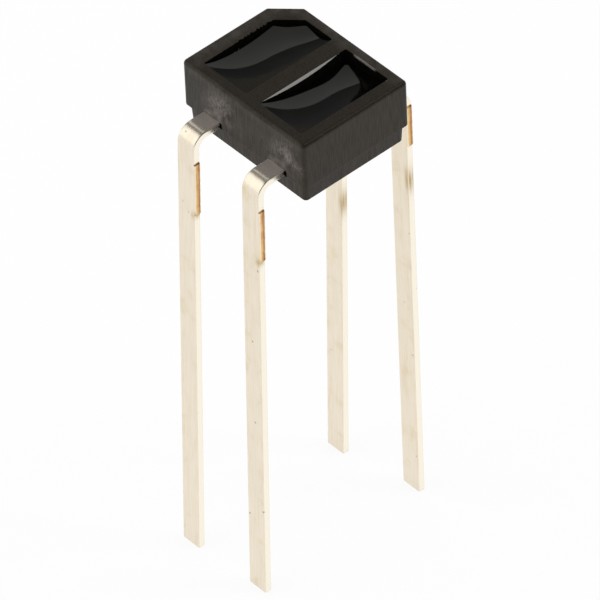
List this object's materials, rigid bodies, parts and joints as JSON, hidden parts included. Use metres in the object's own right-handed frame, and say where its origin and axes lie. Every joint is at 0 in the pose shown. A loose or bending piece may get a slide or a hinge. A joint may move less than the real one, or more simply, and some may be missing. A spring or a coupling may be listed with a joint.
{
  "type": "reflective optical sensor",
  "caption": "Small black moulded reflective optical sensor with dished dark resin windows side by side on top and long flat tinned leads bent down for soldering.",
  "frame": {"origin": "middle of the body's underside, the face that sits towards the board", "axes": "+Z out of the windows, X along the pair of windows with the bevelled corner at -X +Y, Y across the two rows of leads"},
  "size_m": [0.0034, 0.0043, 0.0114],
  "materials": {
    "body_plastic": "matte moulded black thermoset",
    "tinned_lead": "matte tin plating on a stamped copper strip",
    "silver_adhesive": "cured silver-filled adhesive",
    "chip": "sawn semiconductor",
    "gold_wire": "bare gold",
    "window_resin": "glossy dark cast resin that passes infrared"
  },
  "bodies": {
    "root": {"housing": "body_plastic", "lead_anode": "tinned_lead", "lead_cathode": "tinned_lead", "lead_collector": "tinned_lead", "lead_emitter": "tinned_lead", "emitter_adhesive": "silver_adhesive", "detector_adhesive": "silver_adhesive", "emitter_chip_die": "chip", "detector_chip_die": "chip", "emitter_bond_wire": "gold_wire", "detector_bond_wire": "gold_wire", "emitter_window": "window_resin", "detector_window": "window_resin"}
  },
  "joints": []
}
